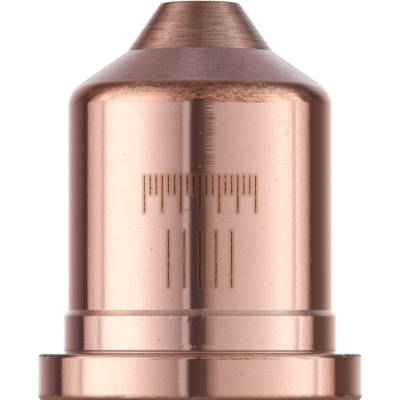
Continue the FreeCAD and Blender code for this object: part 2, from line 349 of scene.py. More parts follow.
class Graph:
    """Adds nodes to a tree. What goes into a socket is a number, a colour or another node's output."""

    def __init__(self, tree):
        self.tree = tree
        self.tree.nodes.clear()

    def add(self, kind, **settings):
        node = self.tree.nodes.new(kind)
        for name, value in settings.items():
            setattr(node, name, value)
        return node

    def feed(self, socket, value):
        if isinstance(value, bpy.types.NodeSocket):
            self.tree.links.new(value, socket)
        else:
            socket.default_value = value

    def math(self, operation, *values):
        node = self.add("ShaderNodeMath", operation=operation)
        for socket, value in zip(node.inputs, values):
            self.feed(socket, value)
        return node.outputs[0]

    def vectors(self, operation, *values):
        node = self.add("ShaderNodeVectorMath", operation=operation)
        for socket, value in zip(node.inputs, values):
            self.feed(socket, value)
        return node.outputs[0]

    def split(self, vector):
        node = self.add("ShaderNodeSeparateXYZ")
        self.feed(node.inputs[0], vector)
        return node.outputs

    def join(self, x, y, z):
        node = self.add("ShaderNodeCombineXYZ")
        for socket, value in zip(node.inputs, (x, y, z)):
            self.feed(socket, value)
        return node.outputs[0]

    def noise(self, vector, scale, detail=2.0, roughness=0.5):
        node = self.add("ShaderNodeTexNoise")
        self.feed(node.inputs["Vector"], vector)
        self.feed(node.inputs["Scale"], scale)
        self.feed(node.inputs["Detail"], detail)
        self.feed(node.inputs["Roughness"], roughness)
        return node.outputs["Fac"]

    def fade(self, value, start, end, low=0.0, high=1.0):
        """Goes smoothly from low to high as the value goes from start to end."""
        node = self.add("ShaderNodeMapRange", interpolation_type="SMOOTHSTEP")
        if start > end:
            start, end, low, high = end, start, high, low
        for name, number in zip(("From Min", "From Max", "To Min", "To Max"), (start, end, low, high)):
            self.feed(node.inputs[name], number)
        self.feed(node.inputs["Value"], value)
        return node.outputs[0]

    def band(self, value, start, end, soft):
        """One between start and end, falling to nothing over a soft length inside them."""
        return self.both(self.fade(value, start, start + soft), self.fade(value, end, end - soft))

    def ramp(self, value, stops):
        """Colours along a value from 0 to 1. A stop is a place and a colour."""
        node = self.add("ShaderNodeValToRGB")
        elements = node.color_ramp.elements
        while len(elements) < len(stops):
            elements.new(0.5)
        for element, (place, colour) in zip(elements, stops):
            element.position = place
            element.color = (*colour, 1)
        self.feed(node.inputs[0], value)
        return node.outputs[0]

    def blend(self, share, first, second):
        """A colour that goes from the first to the second as the share goes from 0 to 1."""
        node = self.add("ShaderNodeMix", data_type="RGBA")
        self.feed(node.inputs[0], share)
        for socket, value in ((node.inputs[6], first), (node.inputs[7], second)):
            self.feed(socket, (*value, 1) if isinstance(value, tuple) else value)
        return node.outputs[2]

    def mix(self, share, first, second):
        """A number that goes from the first to the second as the share goes from 0 to 1."""
        node = self.add("ShaderNodeMix", data_type="FLOAT")
        for number, value in ((0, share), (2, first), (3, second)):
            self.feed(node.inputs[number], value)
        return node.outputs[0]

    def both(self, *shares):
        result = shares[0]
        for share in shares[1:]:
            result = self.math("MULTIPLY", result, share)
        return result

    def most(self, *shares):
        result = shares[0]
        for share in shares[1:]:
            result = self.math("MAXIMUM", result, share)
        return result


# Colours of the surface, as linear light.
COPPER = (0.93, 0.575, 0.495)
BAND_COPPER = (0.93, 0.60, 0.53)
FLANGE_COPPER = (0.925, 0.56, 0.475)
DULL_COPPER = (0.83, 0.49, 0.41)
STEP_COPPER = (0.97, 0.65, 0.58)
# Copper darkened by painted shade, for the groove.
SHADED_GROOVE_COPPER = (0.50, 0.28, 0.22)
TORN_COPPER = (0.98, 0.53, 0.42)
SHOULDER_COPPER = (0.73, 0.475, 0.47)
SHOULDER_SHADE = (0.57, 0.345, 0.335)
TIP_COPPER = (0.90, 0.56, 0.51)
# Red of the tool's streaks, also used as painted shade at the flange's foot.
STREAK_AND_SHADE_RED = (0.46, 0.17, 0.10)
# A brown for grime, and for painted shade and dark reflection.
SHADE_AND_GRIME_BROWN = (0.27, 0.108, 0.07)
TIP_BROWN = (0.46, 0.24, 0.19)
PIT_BROWN = (0.22, 0.09, 0.06)
# Orange of burrs and heat stains, also of the tip's painted glints.
BURR_STAIN_AND_GLINT_ORANGE = (0.84, 0.42, 0.26)
PALE_GLINT = (0.98, 0.82, 0.66)
MARK_BROWN = (0.12, 0.032, 0.013)
MARK_HALO = (0.72, 0.34, 0.21)


class Copper(Graph):
    """A material of bare copper, with the coordinates that its details are drawn in."""

    def __init__(self, name):
        self.material = bpy.data.materials.new(name)
        self.material.use_nodes = True
        super().__init__(self.material.node_tree)
        metres = self.add("ShaderNodeTexCoord").outputs["Object"]
        self.place = self.vectors("MULTIPLY", metres, (METRE, METRE, METRE))
        x, y, self.height = self.split(self.place)
        self.angle = self.math("ARCTAN2", x, self.math("MULTIPLY", y, -1.0))
        self.radius = self.math("SQRT", self.math("ADD", self.both(x, x), self.both(y, y)))
        self.sideways = self.both(self.angle, self.radius)
        self.normal = self.add("ShaderNodeNewGeometry").outputs["Normal"]

    def lines(self, around, along, detail=3.0):
        """Noise drawn out round the axis, like the marks that a tool leaves."""
        return self.noise(self.vectors("MULTIPLY", self.place, (around, around, along)), 1.0, detail, 0.6)

    def shaken(self, amount, around, along):
        """The height, shaken by noise, so that a border drawn with it is ragged."""
        shake = self.math("SUBTRACT", self.lines(around, along), 0.5)
        return self.math("MULTIPLY_ADD", shake, amount, self.height)

    def near_angle(self, degrees, half_width):
        """One at an angle round the axis, falling to nothing a half width away."""
        away = self.math("ABSOLUTE", self.math("SUBTRACT", self.angle, math.radians(degrees)))
        return self.fade(away, math.radians(half_width), 0.0)

    def near_any(self, *places):
        """One at any of the places round the axis. A place is an angle and a half width."""
        return self.most(*(self.near_angle(*place) for place in places))

    def on_front(self):
        """One on the side that faces the camera, up to a radian to each side."""
        return self.math("LESS_THAN", self.math("ABSOLUTE", self.angle), 1.0)

    def on_body(self):
        """One where the radius is no more than the body's."""
        return self.math("LESS_THAN", self.radius, BODY_RADIUS + 0.02)

    def specks(self, density, size, share):
        """Small spots of random strength: so many a millimetre, of that size, in a share of the cells."""
        node = self.add("ShaderNodeTexVoronoi", feature="F1")
        self.feed(node.inputs["Vector"], self.place)
        self.feed(node.inputs["Scale"], density)
        chance = self.split(node.outputs["Color"])
        kept = self.math("LESS_THAN", chance[0], share)
        reach = self.math("MULTIPLY_ADD", chance[1], size, size * 0.4)
        inside = self.math("DIVIDE", node.outputs["Distance"], reach)
        return self.both(kept, self.fade(inside, 1.0, 0.5), self.math("MULTIPLY_ADD", chance[2], 0.6, 0.4))

    def scratches(self, lean, density, share):
        """Thin straight lines here and there that lean from upright by an angle."""
        cos, sin = math.cos(lean), math.sin(lean)
        across = self.math("MULTIPLY_ADD", self.sideways, cos, self.math("MULTIPLY", self.height, -sin))
        along = self.math("MULTIPLY_ADD", self.sideways, sin, self.math("MULTIPLY", self.height, cos))
        cells = self.add("ShaderNodeTexVoronoi", feature="F1", voronoi_dimensions="2D")
        stretched = self.join(self.both(across, density), self.both(along, density * 0.05), 0.0)
        self.feed(cells.inputs["Vector"], stretched)
        self.feed(cells.inputs["Scale"], 1.0)
        chance = self.split(cells.outputs["Color"])
        kept = self.math("LESS_THAN", chance[0], share)
        return self.both(kept, self.fade(cells.outputs["Distance"], 0.09, 0.02))

    def combed(self, share):
        """Turns the normal round the axis line by line, so that what it mirrors has combed edges."""
        shift = self.both(self.math("SUBTRACT", self.lines(0.3, 28.0, 0.0), 0.55), share)
        around = self.vectors("CROSS_PRODUCT", (0.0, 0.0, 1.0), self.normal)
        turn = self.vectors("MULTIPLY", around, self.join(shift, shift, shift))
        self.normal = self.vectors("NORMALIZE", self.vectors("ADD", self.normal, turn))

    def from_ticks(self, pitch, last, foot, top):
        """Distance from a row of upright ticks. Past the last tick to each side it is over a millimetre."""
        nearest = self.both(self.math("ROUND", self.math("DIVIDE", self.sideways, pitch)), pitch)
        across = self.math("SUBTRACT", self.sideways, nearest)
        beyond = self.math("SUBTRACT", self.math("ABSOLUTE", self.sideways), pitch * (last + 0.5))
        from_middle = self.math("ABSOLUTE", self.math("SUBTRACT", self.height, (foot + top) / 2))
        above = self.math("MAXIMUM", self.math("SUBTRACT", from_middle, (top - foot) / 2), 0.0)
        away = self.math("SQRT", self.math("ADD", self.both(across, across), self.both(above, above)))
        return self.math("ADD", away, self.math("GREATER_THAN", beyond, 0.0))

    def finish(self, colour, roughness, relief, relief_depth, along_axis=0.0):
        """Sets the metal's shader. The relief is a height from 0 to 1 for a depth in millimetres."""
        bump = self.add("ShaderNodeBump")
        self.feed(bump.inputs["Strength"], 1.0)
        self.feed(bump.inputs["Distance"], relief_depth / METRE)
        self.feed(bump.inputs["Height"], relief)
        self.feed(bump.inputs["Normal"], self.normal)
        shader = self.add("ShaderNodeBsdfPrincipled")
        self.feed(shader.inputs["Base Color"], colour)
        self.feed(shader.inputs["Metallic"], 1.0)
        self.feed(shader.inputs["Roughness"], roughness)
        self.feed(shader.inputs["Normal"], bump.outputs[0])
        if along_axis:
            self.feed(shader.inputs["Anisotropic"], along_axis)
            self.feed(shader.inputs["Anisotropic Rotation"], 0.25)
            tangent = self.add("ShaderNodeTangent", direction_type="RADIAL", axis="Z")
            self.feed(shader.inputs["Tangent"], tangent.outputs[0])
        output = self.add("ShaderNodeOutputMaterial")
        self.feed(output.inputs[0], shader.outputs[0])
        return self.material


# Heights on the roll of the shoulder: of what the tool left, of the painted glints and of the brown line.
TEAR_FOOT = BODY_TOP - 0.12
HEAVY_TEAR = (BODY_TOP + 0.71, BODY_TOP + 0.31)
SPARKS = (BODY_TOP + 0.06, BODY_TOP + 0.76)
BROWN_LINE_FOOT = BODY_TOP + 1.0
BROWN_LINE_TOP = BODY_TOP + 1.44

# Heights between which the comb marks and the heat stains on the body grow.
COMB_HEIGHTS = (15.5, 18.0)
STAIN_HEIGHTS = (14.0, 21.5)

# Heights on the flange: the burr lies between its two, and the rest grow from the first to the second.
BURR = (FLANGE_THICKNESS - 0.39, FLANGE_THICKNESS - 0.21)
# Painted dark reflection: the edge darkened at the sides as the camera sees them.
SHADED_SIDE_EDGE = (FLANGE_THICKNESS - 0.25, FLANGE_THICKNESS - 0.17)
# Painted shade: the foot darkened and browned where it mirrors the floor's contact shadow, thinner at the
# very bottom.
SHADED_FOOT = (FLANGE_REAR_BEVEL + 0.19, FLANGE_REAR_BEVEL + 0.05)
SHADED_ABOVE_FOOT = (FLANGE_REAR_BEVEL + 0.41, FLANGE_REAR_BEVEL + 0.11)
THINNER_FOOT_SHADE = (FLANGE_REAR_BEVEL - 0.07, FLANGE_REAR_BEVEL - 0.17)

# Places round the axis, each an angle and a half width in degrees.
COMBED = (4.3, 3.8)
RUBBED = ((-51, 9), (47, 11))
STAINED = (44, 20)
STREAKY = ((8, 31), (150, 60))
SPARKLING = ((17, 13), (150, 60))
FAINT_LINE = (-1, 18)
BURRED = (14, 22)
LESS_BURRED = (-12, 9)

# Plain marks burnt in by a laser: fine ticks, longer ones among them and coarse ones below, each row as its
# pitch, the number of the last tick to each side, foot and top.
BURNT_TICKS = (
    (0.46, 9, 15.0, 16.3),
    (1.38, 3, 13.7, 16.3),
    (1.15, 2, 8.3, 12.3),
)
STROKE_HALF_WIDTH = 0.045
STROKE_BLUR = 0.03
HALO_REACH = 0.30
HALO_BLUR = 0.16


def burnt_marks(copper):
    """How much of a mark and how much of the tint round it there is."""
    away = 1.0
    for pitch, last, foot, top in BURNT_TICKS:
        away = copper.math("MINIMUM", away, copper.from_ticks(pitch, last, foot, top))
    shake = copper.math("SUBTRACT", copper.noise(copper.place, 5.0), 0.5)
    ragged = copper.math("MULTIPLY_ADD", shake, 0.10, away)
    marked = copper.both(copper.on_front(), copper.on_body())
    gaps = copper.fade(copper.noise(copper.place, 3.5, 1.0), 0.28, 0.34)
    stroke = copper.fade(ragged, STROKE_HALF_WIDTH + STROKE_BLUR, STROKE_HALF_WIDTH - STROKE_BLUR)
    halo = copper.fade(ragged, HALO_REACH, HALO_REACH - HALO_BLUR)
    return copper.both(stroke, marked, gaps), copper.both(halo, marked)


def pale_lit_sides(copper):
    """The two sides of the roll as the camera sees it, painted paler there as they mirror the bright walls.
    """
    turn = copper.math("DEGREES", copper.math("ABSOLUTE", copper.angle))
    return copper.band(turn, 50.0, 130.0, 14.0)


def brown_line(copper):
    """The ragged, grainy brown line between the torn roll and the smooth cone; at front and back partly
    painted dark reflection.
    """
    height = copper.shaken(0.30, 1.0, 1.0)
    crumbs = copper.noise(copper.place, 6.0, 2.0, 0.7)
    height = copper.math("MULTIPLY_ADD", copper.math("SUBTRACT", crumbs, 0.5), 0.80, height)
    front_and_back = copper.math("SUBTRACT", 1.0, pale_lit_sides(copper))
    line = copper.band(height, BROWN_LINE_FOOT - 0.12, BROWN_LINE_TOP + 0.16, 0.26)
    broken = copper.fade(crumbs, 0.36, 0.56, 0.62, 1.0)
    return copper.both(line, front_and_back, broken, copper.mix(copper.near_angle(*FAINT_LINE), 1.0, 0.55))


def dark_painted_sides(copper):
    """Painted dark brown reflection on the roll: at both sides as the camera sees it, further round with
    height.
    """
    turn = copper.math("DEGREES", copper.math("ABSOLUTE", copper.math("ADD", copper.angle, -0.012)))
    above = copper.math("SUBTRACT", copper.shaken(0.3, 2.0, 2.0), TEAR_FOOT)
    reach = copper.math("MULTIPLY_ADD", above, 18.0, turn)
    sides = copper.both(copper.fade(reach, 51.0, 69.0), copper.fade(reach, 83.0, 71.0))
    return copper.both(sides, copper.fade(above, 0.0, 0.7))


def torn_roll(copper):
    """Colour, roughness and relief of the roll: torn by the tool below, brown above, painted pale and dark
    at the sides.
    """
    streaky = copper.fade(copper.near_any(*STREAKY), 0.05, 0.55)
    heavy = copper.both(streaky, copper.fade(copper.height, *HEAVY_TEAR))
    streaks = copper.fade(copper.lines(2.4, 8.0, 3.0), 0.44, 0.60)
    crumbs = copper.fade(copper.noise(copper.place, 7.0, 2.0, 0.7), 0.48, 0.64)
    towards_line = copper.fade(copper.height, TEAR_FOOT + 0.4, BROWN_LINE_FOOT)
    crumbling = copper.both(crumbs, copper.math("SUBTRACT", 1.0, pale_lit_sides(copper)))
    # Painted paler at the sides as the camera sees them, where the roll mirrors the bright walls.
    colour = copper.blend(pale_lit_sides(copper), TORN_COPPER, BAND_COPPER)
    colour = copper.blend(copper.both(streaks, copper.mix(streaky, 0.10, 0.75)), colour, STREAK_AND_SHADE_RED)
    colour = copper.blend(copper.both(heavy, copper.mix(streaks, 0.36, 0.92)), colour, STREAK_AND_SHADE_RED)
    # Red crumbs towards the brown line, at front and back only: partly painted dark reflection.
    colour = copper.blend(copper.both(crumbling, copper.mix(towards_line, 0.06, 0.88)), colour, STREAK_AND_SHADE_RED)
    # Painted dark reflection at the sides, broken by crumbs.
    painted_dark = copper.both(dark_painted_sides(copper), copper.mix(crumbs, 0.80, 1.0))
    colour = copper.blend(painted_dark, colour, SHADE_AND_GRIME_BROWN)
    colour = copper.blend(brown_line(copper), colour, SHADE_AND_GRIME_BROWN)
    smooth_top = copper.fade(copper.shaken(0.2, 1.0, 1.0), BROWN_LINE_TOP - 0.12, BROWN_LINE_TOP + 0.18)
    colour = copper.blend(smooth_top, colour, SHOULDER_COPPER)
    # Painted glints: pale specks where the roll sparkles.
    sparks = copper.fade(copper.noise(copper.place, 6.5, 3.0, 0.7), 0.56, 0.68)
    sparks = copper.both(sparks, copper.near_any(*SPARKLING), copper.band(copper.height, *SPARKS, 0.2))
    colour = copper.blend(copper.both(sparks, 0.85), colour, PALE_GLINT)
    roughness = copper.mix(towards_line, 0.06, 0.22)
    torn = copper.both(streaks, copper.mix(streaky, 0.04, 0.10))
    relief = copper.math("ADD", torn, copper.both(crumbs, 0.04))
    return colour, roughness, relief


def clean_wall(copper, lines, grain, rubbed):
    """Colour of flange, band and body where they are clean: duller lines and grain on bright copper."""
    above_flange = copper.math("GREATER_THAN", copper.height, BAND_FOOT)
    above_band = copper.math("GREATER_THAN", copper.height, BAND_TOP)
    colour = copper.blend(above_band, copper.blend(above_flange, FLANGE_COPPER, BAND_COPPER), COPPER)
    dull = copper.both(copper.fade(grain, 0.36, 0.66), copper.mix(rubbed, 0.45, 0.9))
    colour = copper.blend(dull, colour, DULL_COPPER)
    return copper.blend(copper.both(copper.fade(lines, 0.50, 0.75), 0.5), colour, DULL_COPPER)


def stained_body(copper, colour):
    """Adds orange heat stains high on one side of the body."""
    side = copper.both(copper.near_angle(*STAINED), copper.fade(copper.height, *STAIN_HEIGHTS))
    stains = copper.fade(copper.noise(copper.place, 2.2, 3.0, 0.6), 0.46, 0.66)
    return copper.blend(copper.both(side, stains, copper.on_body(), 0.42), colour, BURR_STAIN_AND_GLINT_ORANGE)


def worn_band_foot(copper, colour):
    """Reddens the edge at the band's foot, more so on the left."""
    above_flange = copper.math("GREATER_THAN", copper.height, BAND_FOOT)
    edge = copper.both(above_flange, copper.fade(copper.height, BAND_FOOT + 0.12, BAND_FOOT + 0.03))
    amount = copper.fade(copper.angle, -0.3, 0.1, 0.75, 0.4)
    return copper.blend(copper.both(edge, amount), colour, STREAK_AND_SHADE_RED)


def worn_and_shaded_flange(copper, colour, grain):
    """Adds the burr, and painted shade on the flange's edges at the sides and the foot. Gives the new colour
    and where that painted shade is.
    """
    on_flange = copper.math("GREATER_THAN", copper.radius, FLANGE_RADIUS - 0.5)
    less_burred = copper.both(copper.near_angle(*LESS_BURRED), 0.7)
    here_and_there = copper.fade(copper.noise(copper.place, 0.3), 0.5, 0.65)
    burred = copper.most(copper.near_angle(*BURRED), less_burred, here_and_there)
    burr = copper.both(on_flange, burred, copper.band(copper.shaken(0.16, 2.2, 1.0), *BURR, 0.05))
    colour = copper.blend(burr, colour, BURR_STAIN_AND_GLINT_ORANGE)
    colour = copper.blend(copper.both(burr, copper.fade(grain, 0.4, 0.6)), colour, STREAK_AND_SHADE_RED)
    # Painted dark reflection: the flange's edge darkened at the sides as the camera sees them.
    at_sides = copper.fade(copper.math("ABSOLUTE", copper.angle), 0.80, 0.96)
    edge = copper.both(on_flange, at_sides, copper.fade(copper.shaken(0.12, 1.0, 1.0), *SHADED_SIDE_EDGE))
    colour = copper.blend(edge, colour, SHADE_AND_GRIME_BROWN)
    # Painted shade towards the foot, where it mirrors the floor's contact shadow.
    foot = copper.both(on_flange, copper.fade(copper.shaken(0.35, 0.8, 0.8), *SHADED_FOOT))
    amount = copper.mix(copper.fade(copper.height, *THINNER_FOOT_SHADE), 0.70, 0.15)
    colour = copper.blend(copper.both(foot, amount), colour, STREAK_AND_SHADE_RED)
    near_foot = copper.both(on_flange, copper.fade(copper.height, *SHADED_ABOVE_FOOT))
    colour = copper.blend(copper.both(near_foot, 0.35), colour, SHADE_AND_GRIME_BROWN)
    colour = copper.blend(copper.both(near_foot, 0.25), colour, STREAK_AND_SHADE_RED)
    return colour, copper.most(foot, edge)


def wall_copper():
    """Flange, band and body: bright, with fine lines round them, a fine grain, pits and a few scratches."""
    copper = Copper("bright_turned_copper")
    comb = copper.both(copper.near_angle(*COMBED), copper.fade(copper.height, *COMB_HEIGHTS))
    copper.combed(copper.mix(comb, 0.008, 0.34))
    lines = copper.lines(0.35, 9.0)
    grain = copper.noise(copper.place, 8.0, 1.0)
    rubbed = copper.most(copper.near_any(*RUBBED), copper.fade(copper.noise(copper.place, 0.2), 0.64, 0.78))
    colour = stained_body(copper, clean_wall(copper, lines, grain, rubbed))
    torn = copper.fade(copper.shaken(0.20, 1.6, 1.0), TEAR_FOOT - 0.03, TEAR_FOOT + 0.04)
    torn = copper.both(torn, copper.on_body())
    torn_colour, torn_roughness, torn_relief = torn_roll(copper)
    colour = worn_band_foot(copper, copper.blend(torn, colour, torn_colour))
    colour, painted_dark = worn_and_shaded_flange(copper, colour, grain)
    burnt, tinted = burnt_marks(copper)
    colour = copper.blend(copper.both(tinted, 0.75), colour, MARK_HALO)
    colour = copper.blend(burnt, colour, MARK_BROWN)
    pits = copper.most(copper.specks(2.0, 0.20, 0.12), copper.both(copper.specks(5.0, 0.34, 0.25), 0.25))
    colour = copper.blend(copper.both(pits, copper.mix(rubbed, 0.5, 0.9)), colour, PIT_BROWN)

    roughness = copper.mix(torn, copper.mix(grain, 0.045, 0.10), torn_roughness)
    roughness = copper.mix(painted_dark, roughness, 0.35)
    roughness = copper.mix(tinted, roughness, 0.16)
    scratches = copper.most(copper.scratches(0.9, 2.4, 0.12), copper.scratches(-0.5, 1.7, 0.08))
    grained = copper.both(grain, copper.mix(rubbed, 0.035, 0.06))
    relief = copper.math("ADD", copper.both(lines, 0.02), grained)
    for hollow in (copper.both(pits, 0.3), copper.both(scratches, 0.06), copper.both(torn, torn_relief)):
        relief = copper.math("SUBTRACT", relief, hollow)
    return copper.finish(colour, roughness, relief, 0.015, 0.6)


def step_copper():
    """The bevel from the band to the body: even and satin, a few nicks, and browner towards its foot."""
    copper = Copper("satin_step_copper")
    lines = copper.lines(0.5, 8.0)
    nicks = copper.specks(1.2, 0.22, 0.10)
    colour = copper.blend(copper.both(nicks, 0.7), STEP_COPPER, STREAK_AND_SHADE_RED)
    foot = copper.fade(copper.shaken(0.10, 1.0, 1.0), BAND_TOP + 0.26, BAND_TOP + 0.04)
    colour = copper.blend(copper.both(foot, 0.32), colour, STREAK_AND_SHADE_RED)
    return copper.finish(colour, 0.11, copper.math("SUBTRACT", lines, nicks), 0.0015, 0.3)


def groove_copper():
    """The groove at the band's root, with painted shade: dark along its upper edge and a little darker
    elsewhere.
    """
    copper = Copper("dull_groove_copper")
    lines = copper.lines(0.6, 8.0)
    edges = copper.most(copper.fade(copper.shaken(0.04, 1.0, 1.0), BAND_FOOT - 0.10, BAND_FOOT - 0.03),
                        copper.fade(copper.height, FLANGE_THICKNESS + 0.07, FLANGE_THICKNESS, 0.0, 0.2))
    # Painted shade in the recess: darkest under its upper edge.
    colour = copper.blend(copper.mix(edges, 0.3, 0.9), STEP_COPPER, SHADED_GROOVE_COPPER)
    return copper.finish(colour, 0.25, lines, 0.002)


def shoulder_copper():
    """The shoulder's cone: matt and mauve, with faint lines round it, a grain, pits and a few scratches."""
    copper = Copper("matt_shoulder_copper")
    lines = copper.lines(0.8, 10.0, 2.0)
    grain = copper.noise(copper.place, 8.0, 1.0)
    shade = copper.fade(copper.mix(0.5, lines, grain), 0.38, 0.62)
    colour = copper.blend(shade, SHOULDER_COPPER, SHOULDER_SHADE)
    pits = copper.most(copper.specks(2.0, 0.22, 0.30), copper.both(copper.specks(5.0, 0.34, 0.6), 0.4))
    scratches = copper.both(copper.scratches(0.8, 3.0, 0.25), copper.fade(copper.angle, -0.1, 0.6))
    flaws = copper.most(pits, copper.both(scratches, 0.6))
    colour = copper.blend(copper.both(flaws, 0.8), colour, PIT_BROWN)
    # The brown line, partly painted dark reflection.
    colour = copper.blend(brown_line(copper), colour, SHADE_AND_GRIME_BROWN)
    relief = copper.math("SUBTRACT", copper.both(shade, 0.5), pits)
    return copper.finish(colour, 0.24, relief, 0.004)


def tip_copper():
    """Tip cone: long fine tool lines, a grain, browner towards the top, a dark streak down the front."""
    copper = Copper("lined_tip_copper")
    lines = copper.lines(0.5, 11.0, 2.0)
    grain = copper.noise(copper.place, 9.0, 1.0)
    shade = copper.fade(copper.mix(0.4, lines, grain), 0.36, 0.64)
    colour = copper.blend(shade, TIP_COPPER, TIP_BROWN)
    browner = copper.fade(copper.height, TIP_FOOT + 0.8, OVERALL_LENGTH - 1.0, 0.0, 0.42)
    colour = copper.blend(browner, colour, TIP_BROWN)
    across = copper.math("ABSOLUTE", copper.math("ADD", copper.sideways, 0.35))
    streak = copper.fade(copper.math("MULTIPLY_ADD", grain, 0.6, across), 0.72, 0.40)
    streak = copper.both(streak, copper.on_front())
    colour = copper.blend(copper.both(streak, 0.16), colour, SHADE_AND_GRIME_BROWN)
    # Painted glints: orange specks in the streak.
    glints = copper.both(streak, copper.specks(4.0, 0.30, 0.5))
    colour = copper.blend(glints, colour, BURR_STAIN_AND_GLINT_ORANGE)
    edge = copper.band(copper.height, OVERALL_LENGTH - 0.14, OVERALL_LENGTH + 0.1, 0.08)
    colour = copper.blend(copper.both(edge, 0.7), colour, SHADE_AND_GRIME_BROWN)
    pits = copper.specks(3.0, 0.25, 0.4)
    colour = copper.blend(copper.both(pits, 0.5), colour, PIT_BROWN)
    return copper.finish(colour, 0.11, shade, 0.002, 0.4)


def bore_copper():
    """Inside: satin copper with the reamer's lines."""
    copper = Copper("satin_bore_copper")
    lines = copper.lines(0.3, 5.0)
    return copper.finish(copper.blend(lines, COPPER, DULL_COPPER), 0.3, lines, 0.004)


# One side of the studio. Its angles are in degrees from the camera round the object.
# wall: brightness by angle, on past the wall's end over the backdrop behind the object. end: that end.
# lean: how far it leans towards the camera above the floor.
# tint, far_tint: green and blue of its dimmest light for one of red, before the warm stretch and past it.
# cool_strip: the angles between which it is cooler. ceiling: colour by angle.
# rear_overhead: the colour overhead behind the object.
# Brightnesses and colours began as readings of reflections in the photograph, divided by copper's own colour
# and rounded. They were then corrected by comparing renders with it.
Side = collections.namedtuple("Side", "wall end lean tint far_tint cool_strip ceiling rear_overhead")

LEFT = Side(
    wall=(
        (0, 0.10), (2, 0.08), (7, 0.08), (8.5, 0.18), (10.6, 0.58), (14.6, 0.60), (15.4, 0.38),
        (22, 0.54), (30, 0.70), (38, 0.90), (46, 1.17), (54, 1.42), (62, 1.52), (78, 1.58), (87, 1.42),
        (91, 1.08), (93.3, 0.68), (96, 0.90), (99, 0.98), (105, 0.82), (111, 0.65), (113.8, 0.54),
        (116.0, 0.11), (121, 0.09), (128, 0.18), (134, 0.24), (140, 0.33), (152, 0.55), (158, 0.70),
        (166, 0.92), (180, 1.0),
    ),
    end=113.8,
    lean=7.0,
    tint=(0.69, 0.73),
    far_tint=(0.58, 0.66),
    cool_strip=(10.6, 14.6),
    ceiling=(
        (0, (0.13, 0.09, 0.08)), (5, (0.17, 0.12, 0.11)), (12, (0.27, 0.205, 0.185)),
        (30, (0.31, 0.245, 0.22)), (51, (0.46, 0.42, 0.395)), (82, (0.63, 0.58, 0.54)),
        (97, (0.91, 0.85, 0.80)), (106, (0.86, 0.78, 0.73)), (114, (0.74, 0.60, 0.56)),
        (122, (0.42, 0.32, 0.29)), (129, (0.21, 0.145, 0.13)), (140, (0.21, 0.15, 0.145)),
        (149, (0.42, 0.36, 0.365)), (156, (0.49, 0.43, 0.425)), (162, (0.77, 0.81, 0.83)),
        (170, (1.10, 1.24, 1.30)),
    ),
    rear_overhead=(0.42, 0.335, 0.305),
)
RIGHT = Side(
    wall=(
        (0, 0.10), (4, 0.12), (5.5, 0.28), (8, 0.35), (14, 0.57), (20, 0.60), (28, 0.67), (44, 0.80),
        (52, 0.91), (60, 1.07), (68, 1.27), (76, 1.43), (86, 1.34), (89.2, 0.86), (91.2, 0.88),
        (93.5, 1.36), (96, 1.14), (98.5, 0.97), (104, 0.77), (107, 0.59), (110.2, 0.38), (111.6, 0.12),
        (118, 0.12), (128, 0.15), (134, 0.22), (140, 0.34), (150, 0.57), (158, 0.73), (166, 0.95),
        (180, 1.0),
    ),
    end=110.4,
    lean=11.0,
    tint=(0.66, 0.52),
    far_tint=(0.61, 0.51),
    cool_strip=None,
    ceiling=(
        (0, (0.13, 0.09, 0.08)), (4, (0.18, 0.13, 0.12)), (10, (0.32, 0.26, 0.235)),
        (25, (0.40, 0.34, 0.305)), (41, (0.50, 0.45, 0.42)), (84, (0.58, 0.585, 0.575)),
        (97, (0.81, 0.85, 0.86)), (106, (0.72, 0.765, 0.79)), (114, (0.64, 0.62, 0.61)),
        (119, (0.36, 0.32, 0.32)), (124, (0.18, 0.15, 0.155)), (133, (0.18, 0.17, 0.185)),
        (149, (0.48, 0.54, 0.59)), (156, (0.55, 0.64, 0.67)), (162, (0.80, 1.02, 1.10)),
        (170, (1.10, 1.28, 1.36)),
    ),
    rear_overhead=(0.46, 0.41, 0.405),
)

# A wall has no tint from this brightness up.
WHITE_FROM = 0.75

# Up to the knee red rises with the brightness, and past it by no more than the limit.
RED_KNEE = 0.8
RED_LIMIT = 0.40

# Green and blue of the cool strip, for one of red.
COOL_TINT = (1.02, 1.07)

# Both walls have a warm stretch: tinted up to the first brightness, with no tint from the second.
WARM_STRETCH = (99, 114)
WARM_TINT = (0.66, 0.54)
WARM_BRIGHTNESS = (0.4, 0.85)

# Colours: overhead in front of the object, straight up behind it, below the floor, and what the camera sees.
FRONT_OVERHEAD = (0.29, 0.235, 0.215)
REAR_ZENITH = (0.086, 0.060, 0.050)
PLAIN_BELOW = (0.8, 0.8, 0.8)
CAMERA_WHITE = (1.02, 1.02, 1.02)

# Behind the object the high parts lie in rings round the backdrop, squeezed in height by this.
BACKDROP_HEIGHT = 0.6

# Elevations in degrees between which one part of the studio passes into another.
LEAN_HEIGHT = (1.0, 16.0)  # upright walls into leaning ones
SEAM_TOP = (3.0, 13.0)  # the seam into plain wall
WALL_HEIGHT = (26.0, 36.0)  # walls with a lean into high parts without
FRONT_CEILING_HEIGHT = (0.0, 62.0)  # walls into ceiling, in front
REAR_CEILING_HEIGHT = (8.0, 30.0)  # walls into ceiling, behind
FRONT_OVERHEAD_HEIGHT = (60.0, 80.0)  # ceiling into what is overhead, in front
REAR_OVERHEAD_HEIGHT = (30.0, 46.0)  # ceiling into what is overhead, behind
REAR_ZENITH_HEIGHT = (52.0, 72.0)  # that into what is straight above
BELOW_FLOOR = (-3.0, -12.0)  # everything into what lies below

# Angles between which the lean of the walls grows, and those of the dark seam with the width of its edge.
LEAN_TURN = (140.0, 112.0)
SEAM = (85.0, 101.0)
SEAM_EDGE = 3.0


def red_light(brightness):
    """Red rises less than the other colours where the light is bright, as it does in the photograph."""
    over = max(0.0, brightness - RED_KNEE)
    return min(brightness, RED_KNEE) + RED_LIMIT * (1 - math.exp(-over / RED_LIMIT))


